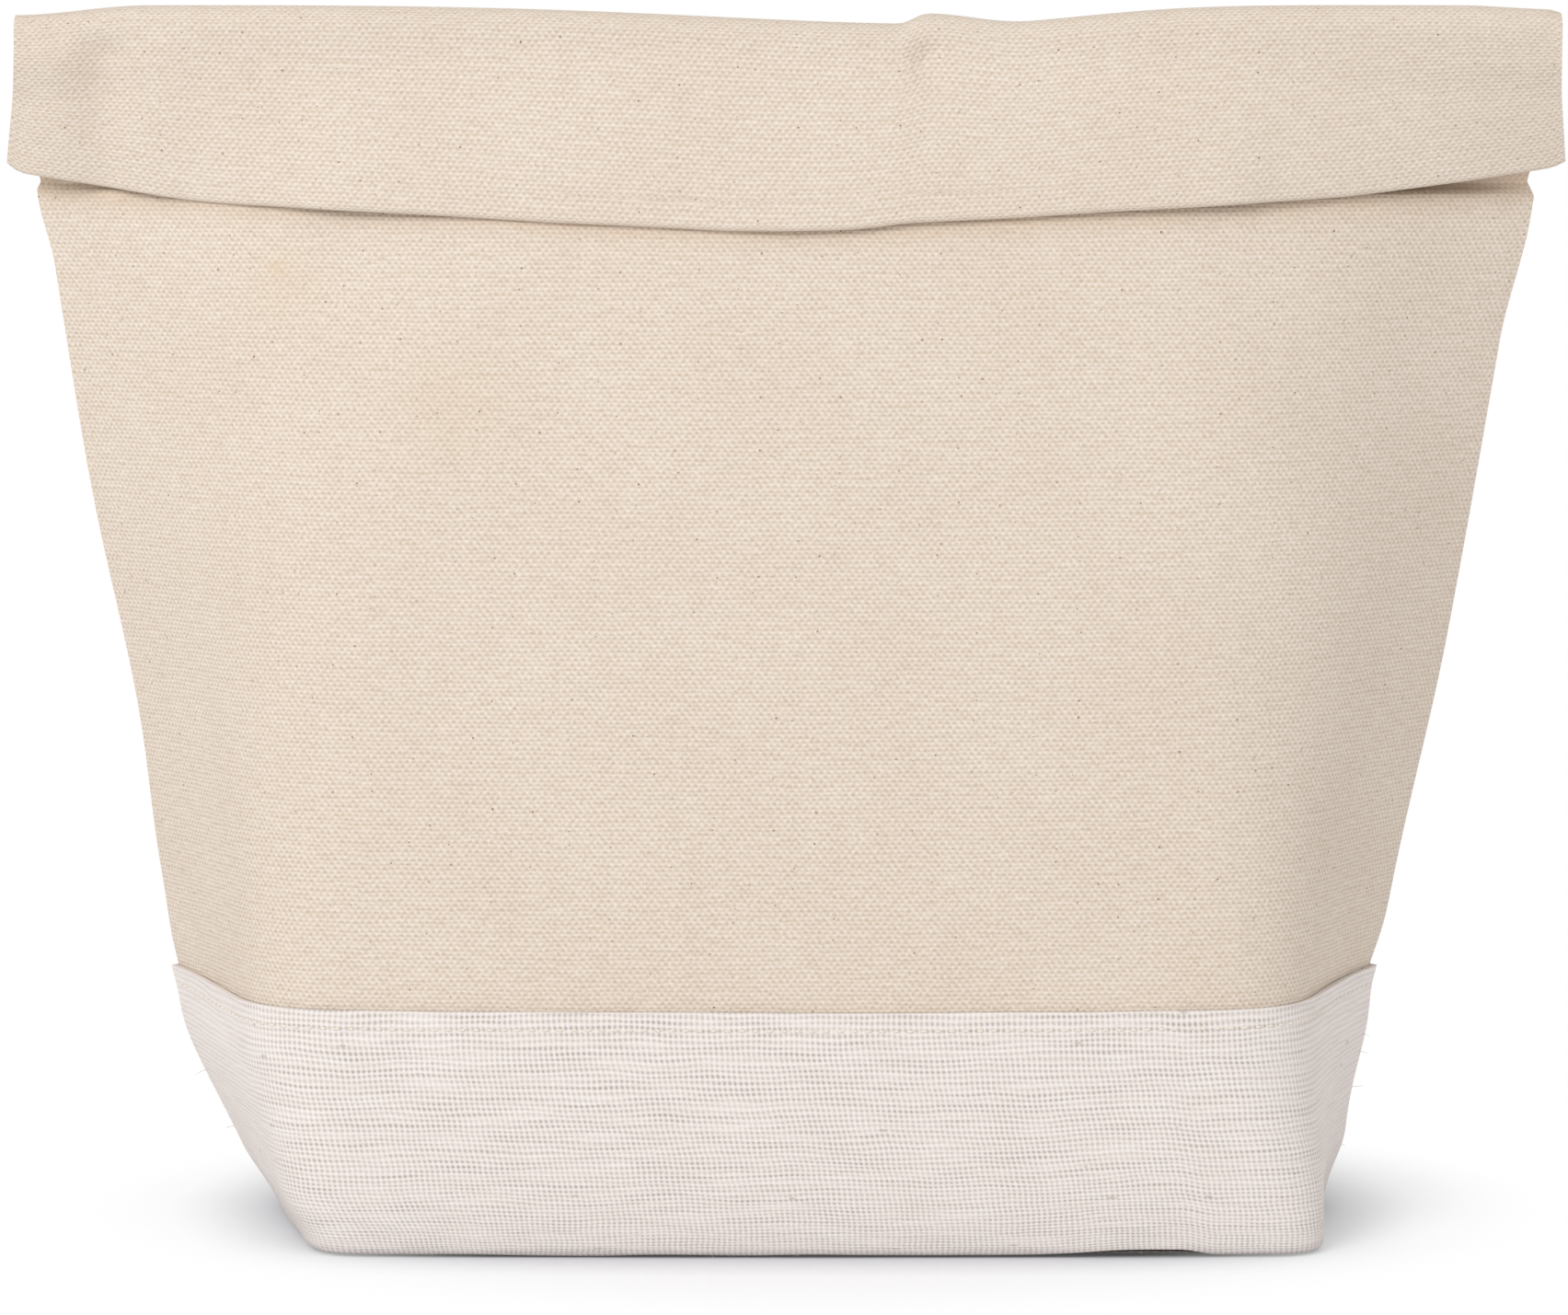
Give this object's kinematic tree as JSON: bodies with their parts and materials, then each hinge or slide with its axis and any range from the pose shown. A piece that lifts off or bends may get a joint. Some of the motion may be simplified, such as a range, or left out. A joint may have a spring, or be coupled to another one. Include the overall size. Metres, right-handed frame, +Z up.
{
  "type": "cooler bag",
  "caption": "Soft insulated lunch bag of canvas on a woven base band, with foil-lined foam walls and a fold-over top that closes on hook-and-loop tape",
  "frame": {"origin": "on the floor under the middle of the flap's width and of the base's depth", "axes": "+X to the bag's left as it faces us, along the width; -Y out of the front; +Z up"},
  "size_m": [0.34, 0.1282, 0.268],
  "materials": {
    "canvas": "plain-weave natural cotton canvas, matte",
    "woven_band": "open slubby off-white weave, matte",
    "foam": "soft closed-cell foam, matte",
    "foil_lining": "crinkled metallised film, semi-gloss",
    "closure_tape": "woven hook-and-loop tape, matte"
  },
  "bodies": {
    "bag_body": {"band_bottom": "woven_band", "band_front": "woven_band", "band_back": "woven_band", "canvas_front": "canvas", "canvas_back": "canvas", "foam_front": "foam", "foam_left_front": "foam", "foam_right_front": "foam", "foam_back": "foam", "foam_left_back": "foam", "foam_right_back": "foam", "foam_base": "foam", "lining_front": "foil_lining", "lining_back": "foil_lining", "lining_base": "foil_lining", "lip_facing": "canvas", "rear_facing": "canvas", "corner_facing_left": "canvas", "corner_facing_right": "canvas", "hook_tape": "closure_tape"},
    "top_panel": {"top_canvas": "canvas", "top_lining": "foil_lining"},
    "flap": {"flap_canvas": "canvas", "flap_facing": "canvas", "loop_tape": "closure_tape"}
  },
  "joints": [
    {"name": "top_fold", "type": "hinge", "parent": "bag_body", "child": "top_panel", "pos_m": [0, 0.03123, 0.2307], "axis": [-1, 0, 0], "range_deg": [0, 150]},
    {"name": "flap_fold", "type": "hinge", "parent": "top_panel", "child": "flap", "pos_m": [0, -0.02423, 0.26595], "axis": [-1, 0, 0], "range_deg": [0, 165]}
  ]
}
